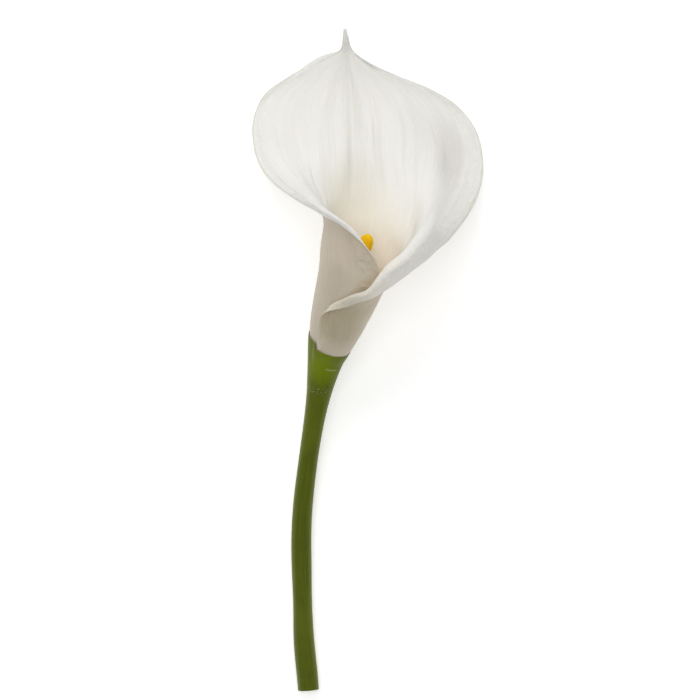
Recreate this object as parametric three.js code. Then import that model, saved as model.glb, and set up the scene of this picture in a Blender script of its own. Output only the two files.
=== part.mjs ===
// A cut calla lily flower lying on its back: green stem with a flared cup, white rolled spathe and
// yellow spadix.
// Lengths in millimetres. X runs across the flower, Y from the cut end of the stem towards the tip, Z up.
import * as THREE from 'three';

// ---------------------------------------------------------------- driving dimensions
const FLOWER_LEAN = 21;          // degrees the funnel leans towards +X, seen from above
const FLOWER_RISE = 28;          // degrees the funnel points up from the surface
const CUP_CENTRE = [-17.6, 6.9, 23];
const MIDRIB_ANGLE = -152;       // where the midrib lies round the funnel, 0 = front, 90 = right
const SHEET = 0.84;              // thickness of the spathe in its middle
const SHEET_EDGE = 0.66;         // thickness of the spathe at its margins
const WRAP_GAP = 0.78;           // how far each flap leaves the mean roll where they overlap
const LIP_BEND = 0.18;           // radius of a lip's turn over its crest, as a share of its width,
const LIP_LEAST = 0.25;          // and what is added to it
const REST_BEND = 0.7;           // how gently the leaf levels off where it touches the surface
const STEM_SIDES = 36;
const STEM_RINGS = 46;
const CUP_LIP = 0.5;             // thickness of the cup's lip
const CUP_FOOT = -8.6;           // heights along the funnel, measured from the cup's rim: where the cup
const CUP_FLOOR = -6.7;          // leaves the stem, and the floor inside it
const CUP_WALL_RINGS = 8;
const CUP_POCKET_RINGS = 7;
const CUP_HIGH_SIDE = 2.2;       // how much further the cup climbs on the left of the outer flap's edge
const FLAP_EDGE = 238;           // degrees round the roll from the midrib to the outer flap's edge
const SPADIX_FOOT = -6.4;
const SPADIX_TIP = 58.6;
const SPADIX_RADIUS = 3.55;
const SPADIX_DOME = 5.5;         // length of its rounded end
const SPADIX_FOOT_TAPER = [14, 0.1];   // over this length from the foot it is thinner by this share,
const SPADIX_TIP_TAPER = [30, 0.08];   // and so from this height on towards the tip
const SPADIX_RINGS = 66;
const FLORET_RELIEF = 0.34;
const FLORETS_ROUND = 11;
const GRID_ROWS = 60;            // steps along the spathe, closer together where the flaps roll over
const GRID_PACE = [[0, 0], [0.18, 5], [0.6, 11.6], [1, 21]];
const BODY_STEPS = [0.1, 0.2, 0.3, 0.4, 0.5, 0.6, 0.7, 0.8, 0.9, 1];
const RIGHT_LIP_STEPS = [0.1, 0.21, 0.34, 0.5, 0.74, 1];
const LEFT_LIP_STEPS = [0.15, 0.3, 0.45, 0.6, 0.8, 1];

// ---------------------------------------------------------------- small vector tools
const rad = (a) => a * Math.PI / 180;
const add = (a, b) => [a[0] + b[0], a[1] + b[1], a[2] + b[2]];
const sub = (a, b) => [a[0] - b[0], a[1] - b[1], a[2] - b[2]];
const mul = (a, k) => [a[0] * k, a[1] * k, a[2] * k];
const dot = (a, b) => a[0] * b[0] + a[1] * b[1] + a[2] * b[2];
const len = (a) => Math.sqrt(dot(a, a));
const unit = (a) => mul(a, 1 / len(a));
const cross = (a, b) => [
  a[1] * b[2] - a[2] * b[1],
  a[2] * b[0] - a[0] * b[2],
  a[0] * b[1] - a[1] * b[0],
];
const clamp = (x, a, b) => Math.min(b, Math.max(a, x));
const ease = (x) => { const k = clamp(x, 0, 1); return k * k * (3 - 2 * k); };

// axis, right side and front of the funnel
const cl = Math.cos(rad(FLOWER_LEAN));
const sl = Math.sin(rad(FLOWER_LEAN));
const cr = Math.cos(rad(FLOWER_RISE));
const sr = Math.sin(rad(FLOWER_RISE));
const AXIS = [sl * cr, cl * cr, sr];
const SIDE = [cl, -sl, 0];
const FRONT = [-sl * sr, -cl * sr, cr];

// the funnel's centre line leans a little as it rises
const LINE_SHIFT = [[-12, 1.2], [-6, 0.5], [0, 0], [8, -0.5], [24, -0.9], [40, -0.9], [60, -0.5]];
function table(rows, x) {
  if (x <= rows[0][0]) return rows[0][1];
  for (let i = 1; i < rows.length; i++) {
    if (x <= rows[i][0]) {
      const k = (x - rows[i - 1][0]) / (rows[i][0] - rows[i - 1][0]);
      return rows[i - 1][1] + k * (rows[i][1] - rows[i - 1][1]);
    }
  }
  return rows[rows.length - 1][1];
}
const around = (phi) => add(mul(FRONT, Math.cos(rad(phi))), mul(SIDE, Math.sin(rad(phi))));
const centreAt = (h) => add(add(CUP_CENTRE, mul(AXIS, h)), mul(SIDE, table(LINE_SHIFT, h)));
const tube = (h, r, phi) => add(centreAt(h), mul(around(phi), r));

// value of a uniform cubic B-spline that starts and ends on its first and last control
function spline(ctrl, t) {
  const n = ctrl.length;
  const k = clamp(t, 0, n - 1 - 1e-9);
  const i = Math.floor(k);
  const u = k - i;
  const wide = (j) => {
    if (j < 0) return ctrl[0].map((v, m) => 2 * v - ctrl[1][m]);
    if (j >= n) return ctrl[n - 1].map((v, m) => 2 * v - ctrl[n - 2][m]);
    return ctrl[j];
  };
  const w = [(1 - u) ** 3, 3 * u ** 3 - 6 * u * u + 4, -3 * u ** 3 + 3 * u * u + 3 * u + 1, u ** 3];
  return ctrl[0].map((_, m) => (w[0] * wide(i - 1)[m] + w[1] * wide(i)[m] + w[2] * wide(i + 1)[m]
    + w[3] * wide(i + 2)[m]) / 6);
}

// ---------------------------------------------------------------- spathe
// Cross rows of the leaf from its foot to its tip. mid, left and right are the midrib and the two
// margins, tilt turns the leaf about its midrib, crest and roll are the top of the right lip and its
// width as a share of that half, leftCrest and leftRoll the same for the left, bow swings the left
// half's cross lines along the midrib, slim narrows each half.
const row = (h, r, left, right, rl, rr) => ({
  mid: tube(h, r, MIDRIB_ANGLE), left: tube(h, rl, left), right: tube(h, rr, right),
  tilt: null, crest: null, roll: 0.1, bow: 0, leftCrest: null, leftRoll: 0.1, slim: [0, 0],
});
const ROWS = [
  row(-6, 5.1, 40, -18, 4.4, 6),
  row(-3.2, 7.6, 40, -21, 6.8, 8.45),
  row(0, 9.2, 40, -24, 9.2 - WRAP_GAP, 9.2 + WRAP_GAP),
  row(8, 11.1, 40, -27, 11.1 - WRAP_GAP, 11.1 + WRAP_GAP),
  { ...row(16, 12.4, 40, -30, 12.4 - WRAP_GAP, 12.4 + WRAP_GAP), roll: 0.11 },
  { ...row(24, 13.6, 39, -31, 13.6 - WRAP_GAP, 14.4), right: [-20.6, 21.4, 48.6],
    crest: [-17.8, 23.7, 47], roll: 0.09, slim: [0, 0.3] },
  { mid: [-12.6, 42.1, 27], left: tube(33, 14.3, 37), right: [-10.3, 23, 51.6],
    tilt: 27, crest: [-10.7, 25.8, 51.5], roll: 0.1,
    bow: 0, leftCrest: null, leftRoll: 0.1, slim: [-0.3, 0.8] },
  { mid: [-10.8, 51, 31], left: tube(42, 16.6, 34), right: [-5.1, 25.3, 53.3],
    tilt: 26, crest: [-5.8, 29.3, 55.4], roll: 0.11,
    bow: -0.05, leftCrest: null, leftRoll: 0.06, slim: [0.3, 1.2] },
  { mid: [-9.2, 59.4, 34], left: tube(50, 19, 35), right: [2.4, 27, 55.2],
    tilt: 24, crest: [1.1, 29.3, 59.7], roll: 0.13,
    bow: -0.16, leftCrest: null, leftRoll: 0.05, slim: [0.8, 1.6] },
  { mid: [-8.1, 67.5, 35], left: [2.7, 45.1, 65], right: [10.9, 32.9, 54.6],
    tilt: 21, crest: [7.4, 41, 62], roll: 0.17,
    bow: -0.3, leftCrest: null, leftRoll: 0.04, slim: [0.6, 1] },
  { mid: [-7.6, 75.2, 34], left: [-5, 54.2, 69.9], right: [19.5, 39.2, 50.5],
    tilt: 18, crest: [15.4, 46.1, 59.5], roll: 0.19,
    bow: -0.45, leftCrest: [-4.4, 55, 68.2], leftRoll: 0.03, slim: [-1, 0] },
  { mid: [-7.6, 83.9, 30.5], left: [-14.6, 61.3, 66], right: [30.3, 47.9, 44],
    tilt: 14, crest: [21.8, 56, 55], roll: 0.21,
    bow: -0.55, leftCrest: [-13.4, 62.9, 68.3], leftRoll: 0.06, slim: [-3, 0] },
  { mid: [-7.8, 92.3, 25.5], left: [-31.1, 69.3, 54], right: [40.9, 58.5, 34.5],
    tilt: 10, crest: [29, 67, 47], roll: 0.22,
    bow: -0.5, leftCrest: [-28.6, 72.5, 57.5], leftRoll: 0.09, slim: [-3, 0] },
  { mid: [-8.1, 100.8, 20], left: [-50, 84.5, 28], right: [51.3, 74.3, 23],
    tilt: 6, crest: null, roll: 0.21,
    bow: -0.32, leftCrest: null, leftRoll: 0.1, slim: [-1, 0] },
  { mid: [-8.1, 109.8, 15], left: [-53.8, 106.2, 7], right: [53.5, 94, 12],
    tilt: 3, crest: null, roll: 0.19,
    bow: -0.12, leftCrest: null, leftRoll: 0.1, slim: [0, 0] },
  { mid: [-8.5, 118.3, 11], left: [-49.1, 123.1, -3.8], right: [46.4, 112.6, -2.4],
    tilt: 2, crest: null, roll: 0.15,
    bow: -0.04, leftCrest: null, leftRoll: 0.1, slim: [0, 0] },
  { mid: [-8.7, 125.8, 9], left: [-34.7, 129.8, -1.2], right: [31.6, 124, -2.6],
    tilt: 0, crest: null, roll: 0.1,
    bow: 0, leftCrest: null, leftRoll: 0.1, slim: [0, 0] },
  { mid: [-9, 132.3, 8], left: [-22.3, 139.4, 4.4], right: [13.1, 129.8, 2.4],
    tilt: 0, crest: null, roll: 0.1,
    bow: 0, leftCrest: null, leftRoll: 0.1, slim: [0, 0] },
  { mid: [-9.2, 137.8, 7.5], left: [-13.5, 140.2, 6.5], right: [-1.6, 136.4, 5.5],
    tilt: 0, crest: null, roll: 0.1,
    bow: 0, leftCrest: null, leftRoll: 0.1, slim: [0, 0] },
  { mid: [-9.4, 141.9, 7.6], left: [-11.5, 142.4, 7.4], right: [-7.8, 141.5, 7.2],
    tilt: 0, crest: null, roll: 0.1,
    bow: 0, leftCrest: null, leftRoll: 0.1, slim: [0, 0] },
  { mid: [-9.9, 146.4, 8.2], left: [-11.2, 146.9, 8.2], right: [-8.8, 146.4, 8.2],
    tilt: 0, crest: null, roll: 0.1,
    bow: 0, leftCrest: null, leftRoll: 0.1, slim: [0, 0] },
  { mid: [-10.3, 150.7, 9], left: [-10.8, 150.7, 9], right: [-9.9, 150.7, 9],
    tilt: 0, crest: null, roll: 0.1,
    bow: 0, leftCrest: null, leftRoll: 0.1, slim: [0, 0] },
];

// Half a cross row: the circular arc that leaves the midrib along its cross direction and ends on
// the margin, narrowed by slim in its middle. q runs from 0 at the midrib to 1 at the margin.
function halfRow(mid, margin, cross0, slim, q) {
  const chord = sub(margin, mid);
  const along = dot(chord, cross0);
  const off = sub(chord, mul(cross0, along));
  const offLen = len(off) + 1e-9;
  const angle = Math.atan2(offLen, along);
  const r = len(chord) / (2 * Math.sin(angle) + 1e-12);
  const a = 2 * angle * q;
  const p = add(mid, add(mul(cross0, r * Math.sin(a)), mul(off, r * (1 - Math.cos(a)) / offLen)));
  return sub(p, mul(cross0, slim * Math.sin(Math.PI * q) ** 2));
}
const crossOf = (r) => {
  if (r.tilt === null) return unit(sub(mul(FRONT, Math.sin(rad(MIDRIB_ANGLE))),
    mul(SIDE, Math.cos(rad(MIDRIB_ANGLE)))));
  return unit([Math.cos(rad(r.tilt)), -0.11 * r.tilt / 27, -Math.sin(rad(r.tilt))]);
};
const CROSS = ROWS.map(crossOf);
const MID = ROWS.map((r) => r.mid);
const LEFT = ROWS.map((r) => r.left);
const RIGHT = ROWS.map((r) => r.right);
const ROLL = ROWS.map((r) => [r.roll]);
const SLIM = ROWS.map((r) => r.slim);
const CREST = ROWS.map((r, i) => (r.crest || halfRow(r.mid, r.right, CROSS[i], 0, 1 - r.roll)));
const LEFT_CROSS = ROWS.map((r, i) => {
  const rib = unit(sub(MID[Math.min(i + 1, MID.length - 1)], MID[Math.max(i - 1, 0)]));
  return unit(sub(mul(rib, r.bow), CROSS[i]));
});
const LEFT_ROLL = ROWS.map((r) => [r.leftRoll]);
const LEFT_CREST = ROWS.map((r, i) => (r.leftCrest
  || halfRow(r.mid, r.left, LEFT_CROSS[i], 0, 1 - r.leftRoll)));

// A lip leaves its crest straight ahead, turns outwards on a small circle and runs on to the margin;
// v is the share of the way from crest to margin.
function turnOver(top, ahead, out, fall, v) {
  const width = len(fall);
  const r = LIP_BEND * width + LIP_LEAST * Math.min(1, width / 0.8);
  const x = dot(fall, out) - r;
  const y = dot(fall, ahead);
  const far = Math.max(Math.sqrt(x * x + y * y), r * 1.0001);
  const turn = Math.max(0, Math.PI - Math.atan2(y, x) - Math.acos(r / far));
  const straight = Math.sqrt(far * far - r * r);
  const s = v * (r * turn + straight);
  const a = Math.min(s / r, turn);
  const rest = Math.max(0, s - r * turn);
  const outward = r * (1 - Math.cos(a)) + rest * Math.sin(a);
  const onward = r * Math.sin(a) + rest * Math.cos(a);
  return add(top, add(mul(out, outward), mul(ahead, onward)));
}
// How the sheet runs on over its crest and which way is outwards there. Where the flaps roll over
// it runs square to the crest line, elsewhere straight on along its row.
function crestFrame(crest, t, m, c, slim, side) {
  const top = spline(crest, t);
  const line = unit(sub(spline(crest, t + 0.02), spline(crest, t - 0.02)));
  const end = unit(sub(halfRow(m, top, c, slim, 1), halfRow(m, top, c, slim, 0.99)));
  const square = ease((t - 4) / 1.5) * (1 - ease((t - 13) / 2));
  const ahead = unit(sub(end, mul(line, square * dot(end, line))));
  return [ahead, mul(unit(cross(line, ahead)), side)];
}
function lipPoint(top, ahead, out, edge, v) {
  const fall = sub(edge, top);
  const miss = sub(edge, turnOver(top, ahead, out, fall, 1));
  return add(turnOver(top, ahead, out, fall, v), mul(miss, v * v));
}

// Middle of the sheet at row position t and q from -1 (left margin) to 1 (right margin).
function sheetPoint(t, q) {
  const m = spline(MID, t);
  const slim = spline(SLIM, t);
  if (q >= 0) {
    const c = unit(spline(CROSS, t));
    const top = spline(CREST, t);
    const bend = 1 - spline(ROLL, t)[0];
    if (q <= bend) return halfRow(m, top, c, slim[1], q / bend);
    const [ahead, out] = crestFrame(CREST, t, m, c, slim[1], 1);
    return lipPoint(top, ahead, out, spline(RIGHT, t), (q - bend) / (1 - bend));
  }
  const c = unit(spline(LEFT_CROSS, t));
  const top = spline(LEFT_CREST, t);
  const bend = 1 - spline(LEFT_ROLL, t)[0];
  if (-q <= bend) return halfRow(m, top, c, slim[0], -q / bend);
  const [ahead, out] = crestFrame(LEFT_CREST, t, m, c, slim[0], -1);
  return lipPoint(top, ahead, out, spline(LEFT, t), (-q - bend) / (1 - bend));
}

// Half the sheet's thickness: full in the middle, thinner at the margins, plump in the pointed tip.
function halfSheet(t, q) {
  const edge = ease((Math.abs(q) - 0.8) / 0.2);
  const tip = ease((t - 18) / 2);
  const flat = SHEET + (SHEET_EDGE - SHEET) * edge;
  return 0.5 * (flat + (1.1 - flat) * tip * (1 - 0.5 * edge));
}
// The leaf never sinks into the surface it lies on: it levels off half a thickness above it.
function sheetMiddle(t, q) {
  const p = sheetPoint(t, q);
  const floor = halfSheet(t, q);
  const x = clamp(p[2] - floor, -REST_BEND, REST_BEND);
  const above = Math.max(p[2] - floor - REST_BEND, 0);
  return [p[0], p[1], floor + above + (x + REST_BEND) ** 2 / (4 * REST_BEND)];
}
function sheetNormal(t, q) {
  const tMax = ROWS.length - 1;
  const t0 = Math.max(0, t - 0.02);
  const t1 = Math.min(tMax, t + 0.02);
  const q0 = Math.max(-1, q - 0.004);
  const q1 = Math.min(1, q + 0.004);
  const dt = sub(sheetMiddle(t1, q), sheetMiddle(t0, q));
  const dq = sub(sheetMiddle(t, q1), sheetMiddle(t, q0));
  return unit(cross(dq, dt));
}

// Writes triangles so that closed grids keep one direction; flips the lot if it ends up inside out.
function meshOf(points, tris, name, colour, roughness) {
  let volume = 0;
  for (const [a, b, c] of tris) volume += dot(points[a], cross(points[b], points[c])) / 6;
  const geometry = new THREE.BufferGeometry();
  geometry.setAttribute('position', new THREE.Float32BufferAttribute(points.flat(), 3));
  geometry.setIndex(tris.map((f) => (volume < 0 ? [f[0], f[2], f[1]] : f)).flat());
  geometry.computeVertexNormals();
  const material = new THREE.MeshStandardMaterial({ color: colour, roughness, metalness: 0 });
  const mesh = new THREE.Mesh(geometry, material);
  mesh.name = name;
  return mesh;
}

function buildSpathe() {
  // one column runs along each crest; the lips beyond it are cut finer
  const columnsAt = (t) => {
    const bend = 1 - spline(ROLL, t)[0];
    const leftBend = 1 - spline(LEFT_ROLL, t)[0];
    const right = [...BODY_STEPS.map((x) => x * bend),
      ...RIGHT_LIP_STEPS.map((v) => bend + v * (1 - bend))];
    const left = [...BODY_STEPS.map((x) => x * leftBend),
      ...LEFT_LIP_STEPS.map((v) => leftBend + v * (1 - leftBend))];
    return [...left.reverse().map((x) => -x), 0, ...right];
  };
  const rows = [];
  for (let i = 0; i <= GRID_ROWS; i++) {
    const t = table(GRID_PACE, i / GRID_ROWS);
    // the narrow tip needs fewer columns
    const step = t > 19.4 ? 4 : t > 17.6 ? 2 : 1;
    rows.push({ t, step, cols: columnsAt(t).filter((_, j) => j % step === 0) });
  }
  const points = [];
  for (const r of rows) {
    r.top = [];
    r.under = [];
    for (const q of r.cols) {
      const m = sheetMiddle(r.t, q);
      const n = sheetNormal(r.t, q);
      const half = halfSheet(r.t, q);
      r.top.push(points.length);
      points.push(add(m, mul(n, half)));
      r.under.push(points.length);
      points.push(sub(m, mul(n, half)));
    }
  }
  const tris = [];
  const skin = (a, b, flip) => {
    const put = (x, y, z) => tris.push(flip ? [x, z, y] : [x, y, z]);
    if (a.length === b.length) {
      for (let j = 0; j + 1 < a.length; j++) {
        put(a[j], a[j + 1], b[j + 1]);
        put(a[j], b[j + 1], b[j]);
      }
      return;
    }
    for (let j = 0; j + 1 < b.length; j++) {
      put(a[2 * j], a[2 * j + 1], b[j]);
      put(a[2 * j + 1], b[j + 1], b[j]);
      put(a[2 * j + 1], a[2 * j + 2], b[j + 1]);
    }
  };
  for (let i = 0; i < GRID_ROWS; i++) {
    const a = rows[i];
    const b = rows[i + 1];
    skin(a.top, b.top, false);
    skin(a.under, b.under, true);
    const ea = a.top.length - 1;
    const eb = b.top.length - 1;
    tris.push([a.under[0], a.top[0], b.top[0]], [a.under[0], b.top[0], b.under[0]]);
    tris.push([a.top[ea], a.under[ea], b.under[eb]], [a.top[ea], b.under[eb], b.top[eb]]);
  }
  for (const [r, flip] of [[rows[0], false], [rows[GRID_ROWS], true]]) {
    for (let j = 0; j + 1 < r.top.length; j++) {
      const quad = [r.top[j], r.under[j], r.under[j + 1], r.top[j + 1]];
      if (flip) quad.reverse();
      tris.push([quad[0], quad[1], quad[2]], [quad[0], quad[2], quad[3]]);
    }
  }
  return meshOf(points, tris, 'spathe', 0xebe9e2, 0.5);
}

// ---------------------------------------------------------------- stem with its cup
// Centre line of the stem from the cut end up to the foot of the cup: x, y, height, radius.
const STEM_LINE = [
  [-27.1, -151.6, 4.6, 4.8], [-27.6, -145, 4.6, 4.85], [-28.5, -137, 4.6, 4.85], [-29.3, -128, 4.6, 4.75],
  [-29.6, -119, 4.6, 4.45], [-29.8, -110, 4.65, 4.3], [-30.1, -101, 4.9, 4.5], [-30.3, -91.5, 5.3, 4.65],
  [-30.4, -82, 5.8, 4.6], [-30.1, -73, 6.3, 4.55], [-29.4, -64, 7, 4.5], [-28.3, -54.5, 7.8, 4.4],
  [-27.1, -45.5, 8.9, 4.35], [-25.8, -36.5, 10.2, 4.45], [-24.4, -28, 11.8, 4.7], [-23.2, -21, 13.5, 5.1],
  [-22, -14.5, 15.4, 5.75], [-21, -9, 17.3, 6.6],
];
// radius of the cup's outer wall along the funnel, and the roll's radius inside it
const CUP_WALL = [[-10, 7.4], [-8, 8.1], [-6, 8.7], [-4, 9.3], [-2, 9.8], [0, 10.2], [2.5, 10.75]];
const POCKET = [
  [-6.7, 6.1], [-6, 6.58], [-5, 7.42], [-4, 8.21], [-3, 8.84], [-2, 9.37], [0, 10.11], [3, 10.98],
];

// The rolled leaf's outer face leaves the mean roll outwards under the outer flap, inwards elsewhere.
function wrapOffset(phi) {
  const away = (1 - Math.cos(rad(phi - MIDRIB_ANGLE))) / 2;
  const turn = ((MIDRIB_ANGLE - phi) % 360 + 360) % 360;
  const outer = 1 - ease((turn - FLAP_EDGE) / 10);
  return WRAP_GAP * away * (2 * outer - 1);
}
// The cup's rim: level, but higher on the left of the outer flap's edge.
function rimHeight(phi) {
  const turn = ((phi % 360) + 540) % 360 - 180;
  const step = 1 - ease((turn + 31) / 5);
  const fade = ease((turn + 178) / 70);
  return CUP_HIGH_SIDE * step * fade;
}

function buildStem() {
  const points = [];
  const rings = [];
  const push = (list) => {
    const ring = [];
    for (const p of list) {
      ring.push(points.length);
      points.push([p[0], p[1], Math.max(p[2], 0)]);
    }
    rings.push(ring);
  };
  const angles = [];
  for (let k = 0; k < STEM_SIDES; k++) angles.push(-180 + 360 * k / STEM_SIDES);
  // long stem: circles square to its centre line
  for (let i = 0; i <= STEM_RINGS; i++) {
    const t = (STEM_LINE.length - 1) * i / STEM_RINGS;
    const [x, y, z, r] = spline(STEM_LINE, t);
    const ahead = spline(STEM_LINE, Math.min(t + 0.05, STEM_LINE.length - 1));
    const behind = spline(STEM_LINE, Math.max(t - 0.05, 0));
    const along = unit(sub(ahead.slice(0, 3), behind.slice(0, 3)));
    const side = unit(cross(along, [0, 0, 1]));
    const front = cross(side, along);
    push(angles.map((a) => {
      const spoke = add(mul(front, Math.cos(rad(a))), mul(side, Math.sin(rad(a))));
      return add([x, y, z], mul(spoke, r));
    }));
  }
  // cup: outer wall up to the rim
  for (let i = 0; i <= CUP_WALL_RINGS; i++) {
    push(angles.map((a) => {
      const h = CUP_FOOT + (rimHeight(a) - CUP_FOOT) * i / CUP_WALL_RINGS;
      const pocket = table(POCKET, h) + wrapOffset(a) * ease((h - CUP_FOOT) / (CUP_FLOOR - CUP_FOOT));
      const r = Math.max(table(CUP_WALL, h), pocket + CUP_LIP);
      return tube(h, r, a);
    }));
  }
  // lip and inner wall down to the floor
  for (let i = 0; i <= CUP_POCKET_RINGS; i++) {
    push(angles.map((a) => {
      const top = rimHeight(a) + 0.02;
      const h = top + (CUP_FLOOR - top) * i / CUP_POCKET_RINGS;
      return tube(h, table(POCKET, h) + wrapOffset(a), a);
    }));
  }
  push(angles.map((a) => tube(CUP_FLOOR, 3, a)));
  const tris = [];
  for (let i = 0; i + 1 < rings.length; i++) {
    for (let k = 0; k < STEM_SIDES; k++) {
      const n = (k + 1) % STEM_SIDES;
      tris.push([rings[i][k], rings[i][n], rings[i + 1][n]], [rings[i][k], rings[i + 1][n], rings[i + 1][k]]);
    }
  }
  const fan = (ring, centre, flip) => {
    const c = points.length;
    points.push(centre);
    for (let k = 0; k < ring.length; k++) {
      const n = (k + 1) % ring.length;
      tris.push(flip ? [c, ring[n], ring[k]] : [c, ring[k], ring[n]]);
    }
  };
  fan(rings[0], STEM_LINE[0].slice(0, 3), true);
  fan(rings[rings.length - 1], tube(CUP_FLOOR, 0, 0), false);
  return meshOf(points, tris, 'stem', 0x5f6a1e, 0.55);
}

// ---------------------------------------------------------------- spadix
// A rounded finger on the funnel's line; florets stand out of it in two crossing spirals.
function buildSpadix() {
  const sides = 2 * FLORETS_ROUND;
  const points = [];
  const rings = [];
  for (let i = 0; i < SPADIX_RINGS; i++) {
    const h = SPADIX_FOOT + (SPADIX_TIP - SPADIX_FOOT) * i / SPADIX_RINGS;
    const intoDome = Math.max(0, 1 - (SPADIX_TIP - h) / SPADIX_DOME);
    const dome = Math.sqrt(1 - intoDome ** 2);
    const taper = 1 - SPADIX_FOOT_TAPER[1] * ease(1 - (h - SPADIX_FOOT) / SPADIX_FOOT_TAPER[0])
      - SPADIX_TIP_TAPER[1] * ease((h - SPADIX_TIP_TAPER[0]) / SPADIX_TIP_TAPER[0]);
    const relief = i > 0 ? FLORET_RELIEF * Math.min(1, dome * 1.4) : 0;
    const ring = [];
    for (let k = 0; k < sides; k++) {
      const lift = (i + k) % 2 === 0 ? 0.5 : -0.5;
      ring.push(points.length);
      points.push(tube(h, SPADIX_RADIUS * taper * dome + relief * lift, 360 * k / sides));
    }
    rings.push(ring);
  }
  const tris = [];
  for (let i = 0; i + 1 < rings.length; i++) {
    for (let k = 0; k < sides; k++) {
      const n = (k + 1) % sides;
      const [a, b, c, d] = [rings[i][k], rings[i][n], rings[i + 1][n], rings[i + 1][k]];
      // the raised corners are joined, so each floret is a small lozenge
      if ((i + k) % 2 === 0) tris.push([a, b, c], [a, c, d]);
      else tris.push([a, b, d], [b, c, d]);
    }
  }
  const tip = points.length;
  points.push(tube(SPADIX_TIP, 0, 0));
  const foot = points.length;
  points.push(tube(SPADIX_FOOT, 0, 0));
  const end = rings[rings.length - 1];
  for (let k = 0; k < sides; k++) {
    const n = (k + 1) % sides;
    tris.push([end[k], end[n], tip], [rings[0][n], rings[0][k], foot]);
  }
  return meshOf(points, tris, 'spadix', 0xd9990f, 0.6);
}

// ---------------------------------------------------------------- the flower, centred over the origin
const flower = new THREE.Group();
flower.name = 'calla_lily_flower';
flower.add(buildStem(), buildSpathe(), buildSpadix());
const box = new THREE.Box3().setFromObject(flower);
for (const mesh of flower.children) {
  mesh.geometry.translate(-(box.min.x + box.max.x) / 2, -(box.min.y + box.max.y) / 2, -box.min.z);
}
export default flower;
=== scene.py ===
"""A cut calla lily flower lying on its back on a pale table, seen from straight above.

Three pieces are worked out here: the white spathe, the green stem with its cup and the yellow
spadix. Shapes are figured in millimetres with +Y from the cut end of the stem to the tip, and are
moved to the middle of the flower's box and turned to metres when their meshes are made.
"""

import math

import bpy
import numpy as np
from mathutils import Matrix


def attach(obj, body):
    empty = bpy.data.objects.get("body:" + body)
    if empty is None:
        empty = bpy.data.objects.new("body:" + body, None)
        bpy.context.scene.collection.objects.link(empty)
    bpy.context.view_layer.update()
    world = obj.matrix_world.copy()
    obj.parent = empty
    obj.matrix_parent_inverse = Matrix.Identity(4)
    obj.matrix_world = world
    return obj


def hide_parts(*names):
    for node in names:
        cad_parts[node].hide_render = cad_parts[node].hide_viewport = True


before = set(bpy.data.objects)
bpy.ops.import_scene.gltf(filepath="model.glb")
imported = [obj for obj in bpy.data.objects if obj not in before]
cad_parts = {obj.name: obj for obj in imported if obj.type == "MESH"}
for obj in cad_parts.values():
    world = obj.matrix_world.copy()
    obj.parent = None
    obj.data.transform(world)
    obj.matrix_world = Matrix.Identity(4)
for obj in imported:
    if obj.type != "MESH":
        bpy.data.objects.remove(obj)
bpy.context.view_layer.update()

# ------------------------------------------------------------------ sizes, in millimetres and degrees
# the shift that brings the middle of the flower's box over the origin
TO_MIDDLE = np.array([0.14, 0.578, 0.0])

# the funnel: how it leans to the right and rises, and where the cup's rim crosses its axis
FLOWER_LEAN, FLOWER_RISE = math.radians(21), math.radians(28)
CUP_CENTRE = np.array([-17.6, 6.9, 23.0])

# the leaf: its places round the funnel, how far its flaps stand in and out of its mean roll, and how
# much a row leans back towards the foot for each degree of its tilt
MIDRIB_ANGLE, LEFT_MARGIN_ANGLE = -152.0, 40.0
WRAP_GAP = 0.78
TILT_LEAN = 0.11 / 27

# its thickness in the middle, at the margins and in the tip, and the share of a half where it thins
SHEET, SHEET_EDGE, SHEET_TIP, THIN_START = 0.84, 0.66, 1.1, 0.8

# its lips' radius as a share of their width and at least, and the width at which that least is full
LIP_BEND, LIP_LEAST, LIP_FULL_WIDTH = 0.18, 0.25, 0.8

# the soft bend where it comes to rest on the table, and the rings and the length of its rounded point
REST_BEND = 0.7
TIP_TURNS, TIP_DRAW = (25, 50, 70, 84), 0.5

# the leaf's fine forms: heights and the groove's width in millimetres, the other widths and starts as
# shares of a half, lengths in rows, and lines as pairs of a row and a place across
GROOVE_DEPTH, GROOVE_WIDTH = 0.6, 2.2
TROUGH_DEPTH, TROUGH_WIDTH, TROUGH_ROW, TROUGH_LENGTH = 2.6, 0.11, 13.4, 1.3
TROUGH_LINE = np.array([[12.4, 0.8], [13.2, 0.735], [14.1, 0.655], [15.5, 0.66]])
CREASE_DEPTH, CREASE_WIDTH, CREASE_ROW, CREASE_LENGTH = 0.6, 0.035, 11.6, 1.4
CREASE_LINE = np.array([[10.8, -0.39], [13.1, -0.495]])
EDGE_RISE, EDGE_START, EDGE_ROW, EDGE_LENGTH = 0.6, 0.84, 14.2, 1.5
FOLD_RELIEF, RIB_RELIEF, RIPPLE, RIPPLE_START = 0.6, 0.07, 0.3, 0.82

# rows, counted from the foot, between which something comes in and goes out again
SQUARE_LIP_ROWS = (4, 5.5, 13, 15)
OPEN_ROWS = (9.5, 12, 14.5, 18)
GROOVE_ROWS = (9, 11, 18.5, 20)
RIB_ROWS = (6, 9, 15, 19)
PLUMP_TIP_ROWS = (18, 20)

# the cup: heights up the funnel's axis, radii, and the part of its rim that stands higher
CUP_FOOT, CUP_FLOOR, CUP_HIGH_SIDE, CUP_FOOT_RADIUS = -8.6, -6.7, 2.2, 7.95
CUP_RIM, CUP_CLOSE, CUP_CLOSE_RISE, CUP_SWELL = 0.14, 0.33, 2.0, 0.05
CUP_FLOOR_RADII = np.array([[4.0], [2.0]])
HIGH_RIM_ANGLES = (-178, -108, -31, -26)
FLAP_EDGE, FLAP_FADE = 238.0, 10.0

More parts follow.
